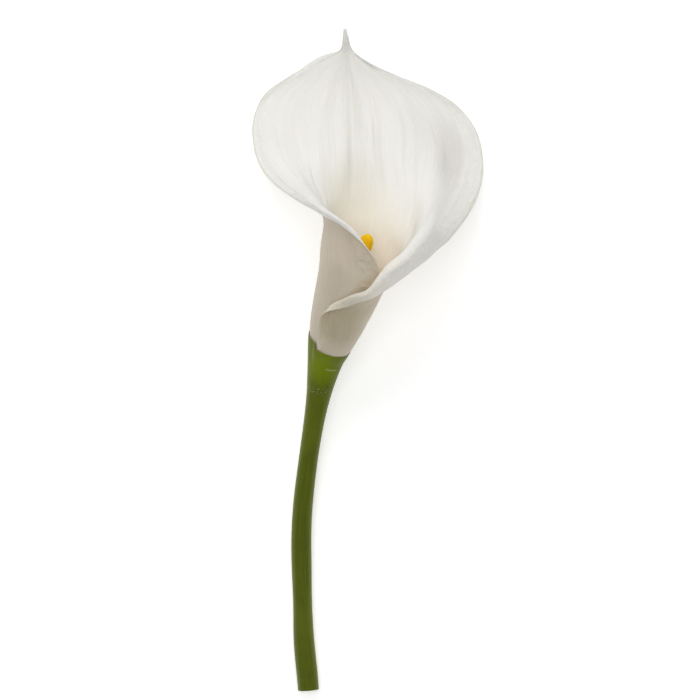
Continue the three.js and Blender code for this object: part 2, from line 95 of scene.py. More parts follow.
# the cut end's rings from its middle outwards: the share of the stem's radius, and how far it stands out
CUT_RINGS = np.array([[0.08, 0.25], [0.45, 0.25], [0.72, 0.25], [0.9, 0.22], [0.975, 0.12]])

# the spadix: heights up the funnel's line, its radius, its taper at both ends, and its florets
SPADIX_FOOT, SPADIX_TIP, SPADIX_RADIUS, SPADIX_DOME = -6.4, 58.6, 3.55, 5.5
FOOT_TAPER, FOOT_TAPER_LENGTH, TIP_TAPER, TIP_TAPER_START, TIP_TAPER_END = 0.1, 14.0, 0.08, 30.0, 60.0
FLORETS_ROUND, FLORETS_LONG, FLORET_RELIEF, FLORET_MEAN, FLORET_START = 18, 96, 0.34, 0.6, 1.5

# how finely the pieces are divided: LEAF_PACE pairs a share of the leaf's grid with the control row
# reached there, and BLEND counts the rings below and above the cup's foot that are blended
LEAF_ROWS, BODY_COLUMNS, RIGHT_LIP_COLUMNS, LEFT_LIP_COLUMNS = 300, 44, 26, 20
LEAF_PACE = np.array([[0, 0], [0.18, 5], [0.6, 11.6], [1, 21]])
RIGHT_LIP_PACE = 1.25
RIM_STEPS, CUP_LIP_STEPS = 3, 5
STEM_SIDES, STEM_RINGS, CUP_RINGS, POCKET_RINGS = 96, 420, 40, 24
BLEND_BELOW, BLEND_ABOVE, BLEND_PASSES, BLEND_SHARE = 26, 14, 90, 0.5
SPADIX_SIDES, SPADIX_RINGS = 160, 520

# the small steps that directions are taken over
T_STEP, Q_STEP, ARC_STEP, STEM_STEP = 0.02, 0.004, 0.01, 0.05


# ------------------------------------------------------------------ arrays of points and directions
def unit(v):
    """Directions scaled to length one."""
    return v / np.linalg.norm(v, axis=-1, keepdims=True)


def dot(a, b):
    """Dot product of each pair, kept as a last axis of one."""
    return (a * b).sum(-1, keepdims=True)


def rise(x, start, end):
    """A smooth step from 0 at start to 1 at end: three u squared less two u cubed, where u is the
    share of the way."""
    u = np.clip((x - start) / (end - start), 0, 1)
    return u * u * (3 - 2 * u)


def between(x, start, full, fade, end):
    """1 from full to fade, down to 0 at start and at end by a smooth step on either side."""
    return rise(x, start, full) * (1 - rise(x, fade, end))


def bell(x, centre, width):
    """A soft bump of height one: e to the minus square of the distance over the width."""
    return np.exp(-(((x - centre) / width) ** 2))


def spline(controls, t):
    """A uniform cubic B-spline through its first and last control, at every t of an array."""
    n = len(controls)
    t = np.clip(t, 0, n - 1 - 1e-9)
    i = np.floor(t).astype(int)
    u = (t - i)[..., None]
    wide = np.concatenate([[2 * controls[0] - controls[1]], controls, [2 * controls[-1] - controls[-2]]])
    return (
        (1 - u) ** 3 * wide[i]
        + (3 * u**3 - 6 * u * u + 4) * wide[i + 1]
        + (-3 * u**3 + 3 * u * u + 3 * u + 1) * wide[i + 2]
        + u**3 * wide[i + 3]
    ) / 6


# the funnel's axis, its right side, its front, and its line's shift to the side by height
AXIS = np.array(
    [
        math.sin(FLOWER_LEAN) * math.cos(FLOWER_RISE),
        math.cos(FLOWER_LEAN) * math.cos(FLOWER_RISE),
        math.sin(FLOWER_RISE),
    ]
)
SIDE = np.array([math.cos(FLOWER_LEAN), -math.sin(FLOWER_LEAN), 0.0])
FRONT = np.cross(SIDE, AXIS)
LINE_SHIFT = np.array([[-12, 1.2], [-6, 0.5], [0, 0], [8, -0.5], [24, -0.9], [40, -0.9], [60, -0.5]])


def tube(h, r, phi):
    """Points at height h along the funnel's line, r away from it, phi degrees round from its front.
    The line itself leans a little sideways as it rises."""
    h, r, phi = np.broadcast_arrays(np.asarray(h, float), np.asarray(r, float), np.radians(phi))
    centre = CUP_CENTRE + h[..., None] * AXIS
    centre = centre + np.interp(h, *LINE_SHIFT.T)[..., None] * SIDE
    return centre + r[..., None] * (np.cos(phi)[..., None] * FRONT + np.sin(phi)[..., None] * SIDE)


# ------------------------------------------------------------------ meshes from grids
def make_mesh(name, points, faces, material, marks):
    """A smooth closed mesh. points is an n by 3 array in millimetres, faces a list of index arrays,
    marks an n by 3 array of what the material reads: place across, place along, and kind."""
    metres = (points + TO_MIDDLE) / 1000
    tris = np.concatenate([f[:, [0, k, k + 1]] for f in faces for k in range(1, f.shape[1] - 1)])
    a, b, c = metres[tris[:, 0]], metres[tris[:, 1]], metres[tris[:, 2]]
    if (a * np.cross(b, c)).sum() < 0:
        faces = [f[:, ::-1] for f in faces]
    mesh = bpy.data.meshes.new(name)
    mesh.from_pydata(metres.tolist(), [], [face for f in faces for face in f.tolist()])
    mesh.validate()
    mesh.polygons.foreach_set("use_smooth", np.ones(len(mesh.polygons), bool))
    layer = mesh.attributes.new("growth", "FLOAT_VECTOR", "POINT")
    layer.data.foreach_set("vector", marks.astype(np.float32).ravel())
    mesh.materials.append(material)
    piece = bpy.data.objects.new(name, mesh)
    bpy.context.collection.objects.link(piece)
    return piece


def ring_faces(rings, sides):
    """Quads between each ring of points and the next, for rings stored one after another."""
    i, k = np.meshgrid(np.arange(rings - 1), np.arange(sides), indexing="ij")
    n = (k + 1) % sides
    quads = np.stack([i * sides + k, i * sides + n, (i + 1) * sides + n, (i + 1) * sides + k], -1)
    return quads.reshape(-1, 4)


def capped_faces(rings, sides):
    """ring_faces, and a fan of triangles round the middle of the first ring and of the last. Those
    two middles are stored after all the rings."""
    k = np.arange(sides)
    n = (k + 1) % sides
    last = (rings - 1) * sides
    start_fan = np.stack([np.full(sides, rings * sides), n, k], -1)
    end_fan = np.stack([np.full(sides, rings * sides + 1), last + k, last + n], -1)
    return [ring_faces(rings, sides), start_fan, end_fan]


def ring_marks(across, along, kind, shape, start, end):
    """The marks of rings of that shape, and after them those of the two end points."""
    grid = np.stack([np.broadcast_to(value, shape) for value in (across, along, kind)], -1)
    return np.concatenate([grid.reshape(-1, 3), [start], [end]])


# ------------------------------------------------------------------ the spathe's control rows
# From the foot to the tip. mid, left and right are the midrib and the margins, tilt turns the leaf
# about its midrib, crest and roll are the top of the right lip and its width as a share of that half,
# left_crest and left_roll the same on the left, bow swings the left half's cross lines along the
# midrib, slim narrows each half. A row without a tilt leaves the midrib round the funnel.
def row(mid, left, right, tilt=0.0, crest=None, roll=0.1, bow=0.0, left_crest=None, left_roll=0.1,
        slim=(0, 0)):
    """One control row, with the usual values where none is given."""
    return dict(mid=mid, left=left, right=right, tilt=tilt, crest=crest, roll=roll, bow=bow,
                left_crest=left_crest, left_roll=left_roll, slim=slim)


def tube_row(h, r, right_angle, left_in=WRAP_GAP, right_out=WRAP_GAP, roll=0.1):
    """A row of the rolled foot at height h: the midrib on radius r, the left margin inside of it and
    the right margin outside of it."""
    left = tube(h, r - left_in, LEFT_MARGIN_ANGLE)
    return row(tube(h, r, MIDRIB_ANGLE), left, tube(h, r + right_out, right_angle), None, roll=roll)


ROWS = [
    tube_row(-6, 5.1, -18, 0.7, 0.9),
    tube_row(-3.2, 7.6, -21, 0.8, 0.85),
    tube_row(0, 9.2, -24),
    tube_row(8, 11.1, -27),
    tube_row(16, 12.4, -30, roll=0.11),
    row(tube(24, 13.6, MIDRIB_ANGLE), tube(24, 13.6 - WRAP_GAP, 39), (-20.6, 21.4, 48.6), None,
        (-17.8, 23.7, 47), 0.09, slim=(0, 0.3)),
    row((-12.6, 42.1, 27), tube(33, 14.3, 37), (-10.3, 23, 51.6), 27, (-10.7, 25.8, 51.5), 0.1,
        slim=(-0.3, 0.8)),
    row((-10.8, 51, 31), tube(42, 16.6, 34), (-5.1, 25.3, 53.3), 26, (-5.8, 29.3, 55.4), 0.11,
        bow=-0.05, left_roll=0.06, slim=(0.3, 1.2)),
    row((-9.2, 59.4, 34), tube(50, 19, 35), (2.4, 27, 55.2), 24, (1.1, 29.3, 59.7), 0.13,
        bow=-0.16, left_roll=0.05, slim=(0.8, 1.6)),
    row((-8.1, 67.5, 35), (2.7, 45.1, 65), (10.9, 32.9, 54.6), 21, (7.4, 41, 62), 0.17,
        bow=-0.3, left_roll=0.04, slim=(0.6, 1)),
    row((-7.6, 75.2, 34), (-5, 54.2, 69.9), (19.5, 39.2, 50.5), 18, (15.4, 46.1, 59.5), 0.19,
        bow=-0.45, left_crest=(-4.4, 55, 68.2), left_roll=0.03, slim=(-1, 0)),
    row((-7.6, 83.9, 30.5), (-14.6, 61.3, 66), (30.3, 47.9, 44), 14, (21.8, 56, 55), 0.21,
        bow=-0.55, left_crest=(-13.4, 62.9, 68.3), left_roll=0.06, slim=(-3, 0)),
    row((-7.8, 92.3, 25.5), (-31.1, 69.3, 54), (40.9, 58.5, 34.5), 10, (29, 67, 47), 0.22,
        bow=-0.5, left_crest=(-28.6, 72.5, 57.5), left_roll=0.09, slim=(-3, 0)),
    row((-8.1, 100.8, 20), (-50, 84.5, 28), (51.3, 74.3, 23), 6, None, 0.21, bow=-0.32, slim=(-1, 0)),
    row((-8.1, 109.8, 15), (-53.8, 106.2, 7), (53.5, 94, 12), 3, None, 0.19, bow=-0.12),
    row((-8.5, 118.3, 11), (-49.1, 123.1, -3.8), (46.4, 112.6, -2.4), 2, None, 0.15, bow=-0.04),
    row((-8.7, 125.8, 9), (-34.7, 129.8, -1.2), (31.6, 124, -2.6)),
    row((-9, 132.3, 8), (-22.3, 139.4, 4.4), (13.1, 129.8, 2.4)),
    row((-9.2, 137.8, 7.5), (-13.5, 140.2, 6.5), (-1.6, 136.4, 5.5)),
    row((-9.4, 141.9, 7.6), (-11.5, 142.4, 7.4), (-7.8, 141.5, 7.2)),
    row((-9.9, 146.4, 8.2), (-11.2, 146.9, 8.2), (-8.8, 146.4, 8.2)),
    row((-10.3, 150.7, 9), (-10.8, 150.7, 9), (-9.9, 150.7, 9)),
]
LAST_ROW = len(ROWS) - 1


def half_row(mid, margin, cross, slim, q):
    """Half a cross row: the circular arc that leaves the midrib along cross and ends on the margin,
    narrowed in its middle by slim. q runs from 0 at the midrib to 1 at the margin."""
    chord = margin - mid
    along = dot(chord, cross)
    off = chord - along * cross
    off_length = np.linalg.norm(off, axis=-1, keepdims=True) + 1e-9
    angle = np.arctan2(off_length, along)
    radius = np.linalg.norm(chord, axis=-1, keepdims=True) / (2 * np.sin(angle) + 1e-12)
    turn = 2 * angle * q
    arc = cross * radius * np.sin(turn) + off * (radius * (1 - np.cos(turn)) / off_length)
    return mid + arc - cross * slim * np.sin(np.pi * q) ** 2


def column(key):
    """One value of every row as an array."""
    return np.array([r[key] for r in ROWS], float)


def cross_of(r):
    """The direction in which a row leaves the midrib to the right: round the funnel in its foot, and
    beyond it to the right, down by the tilt and a little back towards the foot."""
    if r["tilt"] is None:
        angle = math.radians(MIDRIB_ANGLE)
        return unit(math.sin(angle) * FRONT - math.cos(angle) * SIDE)
    tilt = math.radians(r["tilt"])
    return unit(np.array([math.cos(tilt), -TILT_LEAN * r["tilt"], -math.sin(tilt)]))


MID, LEFT, RIGHT, SLIM = column("mid"), column("left"), column("right"), column("slim")
ROLL, LEFT_ROLL, BOW = column("roll")[:, None], column("left_roll")[:, None], column("bow")[:, None]
CROSS = np.array([cross_of(r) for r in ROWS])
RIB = unit(np.concatenate([[MID[1] - MID[0]], MID[2:] - MID[:-2], [MID[-1] - MID[-2]]]))
LEFT_CROSS = unit(RIB * BOW - CROSS)


def crests(key, margin, cross, roll):
    """The crest of each row: as given, or else on the arc to the margin where its lip begins."""
    on_arc = half_row(MID, margin, cross, 0, 1 - roll)
    return np.array([on_arc[i] if r[key] is None else r[key] for i, r in enumerate(ROWS)], float)


CREST = crests("crest", RIGHT, CROSS, ROLL)
LEFT_CREST = crests("left_crest", LEFT, LEFT_CROSS, LEFT_ROLL)


# ------------------------------------------------------------------ the spathe's surface
def turn_over(top, ahead, out, fall, v):
    """A lip: it leaves its crest straight ahead, turns outwards on a small circle and runs on straight
    to the margin. v is the share of the way from crest to margin."""
    width = np.linalg.norm(fall, axis=-1, keepdims=True)
    r = LIP_LEAST * np.minimum(1, width / LIP_FULL_WIDTH) + LIP_BEND * width
    x = dot(fall, out) - r
    y = dot(fall, ahead)
    far = np.maximum(np.sqrt(x * x + y * y), r * 1.0001)  # a margin inside the circle is put on it
    turn = np.maximum(0, np.pi - np.arctan2(y, x) - np.arccos(r / far))
    way = v * (r * turn + np.sqrt(far * far - r * r))
    a = np.minimum(way / r, turn)
    rest = np.maximum(0, way - r * turn)
    return top + out * (r * (1 - np.cos(a)) + rest * np.sin(a)) + ahead * (r * np.sin(a) + rest * np.cos(a))


def half_sheet(t, q, crest, margin, cross, roll, slim, side):
    """One half of the leaf, q from 0 at the midrib to 1 at the margin: an arc up to the crest and then
    its lip, which runs square to the crest line where the flaps roll over."""
    mid, c, top = spline(MID, t), unit(spline(cross, t)), spline(crest, t)
    bend = 1 - spline(roll, t)
    narrow = spline(SLIM, t)[..., slim : slim + 1]
    q = q[..., None]
    body = half_row(mid, top, c, narrow, np.clip(q / bend, 0, 1))
    line = unit(spline(crest, t + T_STEP) - spline(crest, t - T_STEP))
    end = unit(half_row(mid, top, c, narrow, 1) - half_row(mid, top, c, narrow, 1 - ARC_STEP))
    ahead = unit(end - line * between(t, *SQUARE_LIP_ROWS)[..., None] * dot(end, line))
    out = unit(np.cross(line, ahead)) * side
    edge = spline(margin, t)
    v = np.clip((q - bend) / (1 - bend), 0, 1)
    miss = edge - turn_over(top, ahead, out, edge - top, np.ones_like(v))
    lip = turn_over(top, ahead, out, edge - top, v) + miss * v * v
    return np.where(q <= bend, body, lip)


def leaf_point(t, q):
    """The middle of the leaf at row position t and q from -1, its left margin, to 1, its right."""
    right = half_sheet(t, q, CREST, RIGHT, CROSS, ROLL, 1, 1)
    left = half_sheet(t, -q, LEFT_CREST, LEFT, LEFT_CROSS, LEFT_ROLL, 0, -1)
    return np.where(q[..., None] >= 0, right, left)


def half_thickness(t, q):
    """Half the leaf's thickness: full in the middle, thinner at the margins, plump in the tip."""
    edge = rise(np.abs(q), THIN_START, 1)
    flat = SHEET + (SHEET_EDGE - SHEET) * edge
    return 0.5 * (flat + (SHEET_TIP - flat) * rise(t, *PLUMP_TIP_ROWS) * (1 - 0.5 * edge))


def fine_forms(t, q):
    """How far the leaf stands forward of its plain surface, in millimetres. Bells make a groove along
    the midrib, a long trough beside the right margin and a crease in the left half. The right margin
    stands up a little. Sines of q and t make wide soft folds that follow the midrib, low ribs between
    them and margins that ripple. Crease, folds and ribs fade out on the midrib and at the margins."""
    margin = np.where(q[..., None] > 0, spline(RIGHT, t), spline(LEFT, t))
    aside = np.linalg.norm(margin - spline(MID, t), axis=-1) * np.abs(q)
    open_part = between(t, *OPEN_ROWS)
    groove = -GROOVE_DEPTH * bell(aside, 0, GROOVE_WIDTH) * between(t, *GROOVE_ROWS)
    trough = bell(q, np.interp(t, *TROUGH_LINE.T), TROUGH_WIDTH) * bell(t, TROUGH_ROW, TROUGH_LENGTH)
    crease = bell(q, np.interp(t, *CREASE_LINE.T), CREASE_WIDTH) * bell(t, CREASE_ROW, CREASE_LENGTH)
    edge = EDGE_RISE * rise(q, EDGE_START, 1) * bell(t, EDGE_ROW, EDGE_LENGTH)
    folds = FOLD_RELIEF * (np.sin(9.5 * q + 0.6 * t + 1.3) + 0.6 * np.sin(17 * q - 0.35 * t)) * open_part
    ribs = RIB_RELIEF * np.sin(88 * q + 1.5 * np.sin(7 * q)) * between(t, *RIB_ROWS)
    wave = np.sin(4.2 * t + 1.5 * np.sin(2.3 * t) + 2 * q)
    ripple = RIPPLE * rise(np.abs(q), RIPPLE_START, 1) * wave * open_part
    keep = rise(aside, 0, 1.5) * (1 - rise(np.abs(q), 0.9, 1))
    inner_forms = (folds - CREASE_DEPTH * crease + ribs) * keep
    return groove - TROUGH_DEPTH * trough + edge + inner_forms + ripple


def slopes(surface, t, q):
    """How far a surface's points move along t and across q, between the points close by."""
    along = surface(np.clip(t + T_STEP, 0, LAST_ROW), q) - surface(np.clip(t - T_STEP, 0, LAST_ROW), q)
    across = surface(t, np.clip(q + Q_STEP, -1, 1)) - surface(t, np.clip(q - Q_STEP, -1, 1))
    return along, across


def leaf_shaped(t, q):
    """leaf_point moved forward along its own normal by the fine forms."""
    along, across = slopes(leaf_point, t, q)
    return leaf_point(t, q) + unit(np.cross(across, along)) * fine_forms(t, q)[..., None]


def leaf_middle(t, q):
    """leaf_shaped, levelled off softly half a thickness above the table, which it never sinks into."""
    p = leaf_shaped(t, q)
    floor = half_thickness(t, q)
    x = np.clip(p[..., 2] - floor, -REST_BEND, REST_BEND)
    p[..., 2] = floor + np.maximum(p[..., 2] - floor - REST_BEND, 0) + (x + REST_BEND) ** 2 / (4 * REST_BEND)
    return p


def leaf_normal(t, q):
    """The leaf's normal on its inner face and its direction across."""
    along, across = slopes(leaf_middle, t, q)
    return unit(np.cross(across, along)), unit(across)


def build_spathe(material):
    """The leaf as a loop round each row: its inner face from left to right, a round rim, its outer
    face back again and the other rim. The last loop draws in to a rounded point."""
    t = np.interp(np.linspace(0, 1, LEAF_ROWS + 1), *LEAF_PACE.T)[:, None]
    right_bend = 1 - spline(ROLL, t[:, 0])
    left_bend = 1 - spline(LEFT_ROLL, t[:, 0])
    body = np.linspace(0, 1, BODY_COLUMNS + 1)[None, 1:]
    right = np.linspace(0, 1, RIGHT_LIP_COLUMNS + 1)[None, 1:] ** RIGHT_LIP_PACE
    left = np.linspace(0, 1, LEFT_LIP_COLUMNS + 1)[None, 1:]
    q = np.concatenate(
        [
            -(left_bend + left * (1 - left_bend))[:, ::-1],
            -(body * left_bend)[:, ::-1],
            np.zeros_like(t),
            body * right_bend,
            right_bend + right * (1 - right_bend),
        ],
        axis=1,
    )
    t = np.broadcast_to(t, q.shape)
    middle, half = leaf_middle(t, q), half_thickness(t, q)[..., None]
    normal, across = leaf_normal(t, q)
    inner, outer = middle + half * normal, middle - half * normal
    turn = (np.pi * np.arange(1, RIM_STEPS + 1) / (RIM_STEPS + 1))[None, :, None]
    rims = []
    for end, outwards in ((slice(-1, None), 1), (slice(0, 1), -1)):
        spoke = np.cos(turn) * normal[:, end] + np.sin(turn) * across[:, end]
        rims.append(middle[:, end] + outwards * half[:, end] * spoke)
    loops = np.concatenate([inner, rims[0], outer[:, ::-1], rims[1]], axis=1)
    rim = np.ones((len(q), RIM_STEPS))
    loop_q = np.concatenate([q, rim, q[:, ::-1], -rim], axis=1)
    face = np.concatenate([np.ones_like(q), 0.5 * rim, np.zeros_like(q), 0.5 * rim], axis=1)
    loop_t = np.broadcast_to(t[:, :1], loop_q.shape)

    # the tip draws in, ring by ring round a quarter turn
    heart = loops[-1].mean(0)
    ahead = unit(heart - loops[-3].mean(0))
    turns = np.radians(TIP_TURNS)[:, None, None]
    point = heart + (loops[-1] - heart) * np.cos(turns) + TIP_DRAW * ahead * np.sin(turns)
    loops = np.concatenate([loops, point])
    loop_q, loop_t, face = (
        np.concatenate([mark, np.repeat(mark[-1:], len(turns), 0)]) for mark in (loop_q, loop_t, face)
    )

    # the ends: the two faces joined column by column, and a fan over each rim
    rows, sides = loop_q.shape
    faces = [ring_faces(rows, sides)]
    columns = q.shape[1]
    over = np.arange(columns)
    under = sides - RIM_STEPS - 1 - over
    caps = [np.stack([over[:-1], over[1:], under[1:], under[:-1]], -1)]
    for start in (columns - 1, sides - RIM_STEPS - 1):
        caps.append((start + np.arange(RIM_STEPS + 2))[None] % sides)
    for first, order in ((0, -1), ((rows - 1) * sides, 1)):
        faces += [cap[:, ::order] + first for cap in caps]
    marks = np.stack([loop_q, loop_t / LAST_ROW, face], -1).reshape(-1, 3)
    return make_mesh("spathe_leaf", loops.reshape(-1, 3), faces, material, marks)


# ------------------------------------------------------------------ the stem with its cup
# the stem's line from the cut end to the cup: x, y, z and radius
STEM_LINE = np.array(
    [
        [-27.1, -151.6, 4.6, 4.8], [-27.6, -145, 4.6, 4.85], [-28.5, -137, 4.6, 4.85],
        [-29.3, -128, 4.6, 4.75], [-29.6, -119, 4.6, 4.45], [-29.8, -110, 4.65, 4.3],
        [-30.1, -101, 4.9, 4.5], [-30.3, -91.5, 5.3, 4.65], [-30.4, -82, 5.8, 4.6],
        [-30.1, -73, 6.3, 4.55], [-29.4, -64, 7, 4.5], [-28.3, -54.5, 7.8, 4.4],
        [-27.1, -45.5, 8.9, 4.35], [-25.8, -36.5, 10.2, 4.45], [-24.4, -28, 11.8, 4.7],
        [-23.2, -21, 13.5, 5.1], [-22, -14.5, 15.4, 5.75], [-21, -9, 17.3, 6.6],
    ]
)
# the rolled leaf's mean outer radius, which the cup's hollow follows: height up the axis and radius
POCKET = np.array(
    [[-6.7, 6.1], [-6, 6.58], [-5, 7.42], [-4, 8.21], [-3, 8.84], [-2, 9.37], [0, 10.11], [3, 10.98]]
)


# what the stem's marks say: a point's kind, and the length that counts as one along
CUT_END, SKIN, INNER_WALL = 0.0, 0.5, 1.0
STEM_MARK_LENGTH = 200.0


def wrap_offset(phi):
    """How far the rolled leaf's outer face leaves the mean roll: outwards under the outer flap,
    inwards elsewhere, and not at all at the midrib."""
    away = (1 - np.cos(np.radians(phi - MIDRIB_ANGLE))) / 2
    outer = 1 - rise((MIDRIB_ANGLE - phi) % 360, FLAP_EDGE, FLAP_EDGE + FLAP_FADE)
    return WRAP_GAP * away * (2 * outer - 1)


def rim_height(phi):
    """Height of the cup's rim: level, but higher on the left, up to the outer flap's edge."""
    return CUP_HIGH_SIDE * between((phi + 180) % 360 - 180, *HIGH_RIM_ANGLES)


def pocket_radius(h, phi):
    """The radius of the cup's hollow at height h, a hair wider than the leaf it holds."""
    close = CUP_CLOSE * rise(h, CUP_FLOOR, CUP_FLOOR + CUP_CLOSE_RISE)
    return np.interp(h, *POCKET.T) + wrap_offset(phi) - close


def build_stem(material):
    """Rings from the cut end to the cup's foot, up the cup's wall, over its round lip and down into
    the pocket that holds the leaf and the spadix. The rings where stem meets cup are blended: each
    moves towards the middle of its neighbours, many times over."""
    phi = -180 + 360 * np.arange(STEM_SIDES) / STEM_SIDES
    a = np.radians(phi)[None, :, None]

    t = np.linspace(0, len(STEM_LINE) - 1, STEM_RINGS)
    line = spline(STEM_LINE, t)
    along = unit((spline(STEM_LINE, t + STEM_STEP) - spline(STEM_LINE, t - STEM_STEP))[:, :3])
    side = unit(np.cross(along, [0, 0, 1]))
    front = np.cross(side, along)
    spoke = front[:, None] * np.cos(a) + side[:, None] * np.sin(a)
    stalk = line[:, None, :3] + spoke * line[:, None, 3:]

    up = np.linspace(0, 1, CUP_RINGS)[:, None]
    top = rim_height(phi)[None]
    inner_top = pocket_radius(top, phi)
    swollen = up + CUP_SWELL * np.sin(np.pi * up)
    wall_radius = CUP_FOOT_RADIUS + (inner_top + CUP_RIM - CUP_FOOT_RADIUS) * swollen
    wall = tube(CUP_FOOT + (top - CUP_FOOT) * up, wall_radius, phi[None])

    outside = np.concatenate([stalk, wall])
    weight = np.zeros((len(outside), 1, 1))
    weight[STEM_RINGS - BLEND_BELOW : STEM_RINGS + BLEND_ABOVE] = BLEND_SHARE
    for _ in range(BLEND_PASSES):
        outside[1:-1] += weight[1:-1] * ((outside[:-2] + outside[2:]) / 2 - outside[1:-1])

    # round lip between the outer and the inner wall
    lip_turn = np.linspace(0, np.pi, CUP_LIP_STEPS + 2)[1:-1, None]
    thick = wall_radius[-1:] - inner_top
    lip_radius = inner_top + thick * (0.5 + 0.5 * np.cos(lip_turn))
    lip = tube(top + 0.5 * thick * np.sin(lip_turn), lip_radius, phi[None])
    down = top + (CUP_FLOOR - top) * np.linspace(0, 1, POCKET_RINGS)[:, None]
    inside = tube(down, pocket_radius(down, phi), phi[None])
    floor = tube(CUP_FLOOR, CUP_FLOOR_RADII, phi[None])

    # the cut end: a nearly flat face in rings and a small round-off
    share, past = CUT_RINGS.T[..., None, None]
    cut_centre = outside[0].mean(0)
    cut = cut_centre + (outside[0] - cut_centre) * share - along[0] * past

    rings = np.concatenate([cut, outside, lip, inside, floor])
    rings[..., 2] = np.maximum(rings[..., 2], 0)
    points = np.concatenate([rings.reshape(-1, 3), [rings[0].mean(0)], [rings[-1].mean(0)]])
    count, sides = rings.shape[:2]
    hidden = len(lip) + len(inside) + len(floor)
    kind = np.repeat([CUT_END, SKIN, INNER_WALL], [len(cut), len(outside), hidden])
    gaps = np.linalg.norm(np.diff(rings.mean(1), axis=0), axis=-1)
    length = np.concatenate([[0], np.cumsum(gaps)]) / STEM_MARK_LENGTH
    ends = [0, 0, CUT_END], [0, length[-1], INNER_WALL]
    marks = ring_marks(phi / 360, length[:, None], kind[:, None], (count, sides), *ends)
    return make_mesh("stem_with_cup", points, capped_faces(count, sides), material, marks)


# ------------------------------------------------------------------ the spadix
def build_spadix(material):
    """A round-ended finger on the funnel's line, its dome a quarter of an ellipse. Florets stand out
    of it in staggered rings: the relief is the root of the product of two cosines whose seams cross
    it on the slant."""
    h = np.linspace(SPADIX_FOOT, SPADIX_TIP, SPADIX_RINGS + 1)[:-1, None]
    phi = 360 * np.arange(SPADIX_SIDES)[None] / SPADIX_SIDES
    share = (h - SPADIX_FOOT) / (SPADIX_TIP - SPADIX_FOOT)
    dome = np.sqrt(1 - np.maximum(0, 1 - (SPADIX_TIP - h) / SPADIX_DOME) ** 2)
    taper = 1 - FOOT_TAPER * (1 - rise(h, SPADIX_FOOT, SPADIX_FOOT + FOOT_TAPER_LENGTH))
    taper = taper - TIP_TAPER * rise(h, TIP_TAPER_START, TIP_TAPER_END)
    along = FLORETS_LONG * share
    around = FLORETS_ROUND * phi / 360
    crown = np.sqrt(np.abs(np.cos(np.pi * (around + along / 2)) * np.cos(np.pi * (around - along / 2))))
    fade = np.minimum(1, 1.4 * dome) * rise(h, SPADIX_FOOT, SPADIX_FOOT + FLORET_START)
    relief = FLORET_RELIEF * (crown - FLORET_MEAN) * fade
    rings = tube(h, SPADIX_RADIUS * taper * dome + relief, phi)
    ends = np.array([tube(SPADIX_FOOT, 0, 0), tube(SPADIX_TIP, 0, 0)])
    points = np.concatenate([rings.reshape(-1, 3), ends])
    count, sides = rings.shape[:2]
    marks = ring_marks(phi / 360, share, crown, (count, sides), [0, 0, 0], [0, 1, 0.5])
    return make_mesh("spadix_florets", points, capped_faces(count, sides), material, marks)


# ------------------------------------------------------------------ materials
class Nodes:
    """Short calls for putting nodes into one tree and joining them."""

    def __init__(self, tree):
        self.tree = tree

    def add(self, kind, inputs=None, **settings):
        """A node of that kind with its settings, its inputs joined to sockets or set to values."""
        node = self.tree.nodes.new(kind)
        for key, value in settings.items():
            setattr(node, key, value)
        for key, value in (inputs or {}).items():
            if isinstance(value, bpy.types.NodeSocket):
                self.tree.links.new(value, node.inputs[key])
            else:
                node.inputs[key].default_value = value
        return node

    def math(self, operation, a, b=0.0):
        """One sum of two numbers or sockets."""
        return self.add("ShaderNodeMath", {0: a, 1: b}, operation=operation).outputs[0]

    def product(self, *factors):
        """All the factors multiplied together."""
        total = factors[0]
        for factor in factors[1:]:
            total = self.math("MULTIPLY", total, factor)
        return total

    def ramp(self, value, low, high, to_low=0.0, to_high=1.0):
        """value carried smoothly from low..high to to_low..to_high and held beyond them."""
        inputs = {"Value": value, "From Min": low, "From Max": high, "To Min": to_low, "To Max": to_high}
        return self.add("ShaderNodeMapRange", inputs, interpolation_type="SMOOTHSTEP").outputs["Result"]

    def span(self, value, start, full, fade, end):
        """1 from full to fade, smoothly down to 0 at start and at end."""
        return self.product(self.ramp(value, start, full), self.ramp(value, end, fade))

    def near(self, value, centre, full, end):
        """1 within full of the centre, smoothly down to 0 at end away from it."""
        return self.ramp(self.math("ABSOLUTE", self.math("SUBTRACT", value, centre)), end, full)

    def mix(self, share, a, b):
        """Colour a turned to colour b by that share. The node has sockets for other kinds of value
        too, so those for the share, the two colours and the result are taken by number."""
        factor, first, second, result = 0, 6, 7, 2
        node = self.add("ShaderNodeMix", data_type="RGBA")
        for place, value in ((factor, share), (first, a), (second, b)):
            if isinstance(value, bpy.types.NodeSocket):
                self.tree.links.new(value, node.inputs[place])
            else:
                node.inputs[place].default_value = value
        return node.outputs[result]

    def tinted(self, base, tints):
        """The base colour with each tint laid over it in turn: its mask, its strength, its colour."""
        for mask, strength, tint in tints:
            base = self.mix(self.product(mask, strength), base, tint)
        return base

    def growth(self):
        """The piece's own places: across, along and kind."""
        mark = self.add("ShaderNodeAttribute", attribute_name="growth")
        split = self.add("ShaderNodeSeparateXYZ", {0: mark.outputs["Vector"]})
        return split.outputs[0], split.outputs[1], split.outputs[2]

    def stretched(self, x, y):
        """A place for a pattern from two numbers."""
        return self.add("ShaderNodeCombineXYZ", {0: x, 1: y}).outputs[0]

    def noise(self, vector, scale, detail=3.0):
        """Soft noise from 0 to 1."""
        inputs = {"Vector": vector, "Scale": scale, "Detail": detail}
        return self.add("ShaderNodeTexNoise", inputs).outputs["Fac"]


def colour(r, g, b):
    """A colour as shaders take it."""
    return (r, g, b, 1.0)


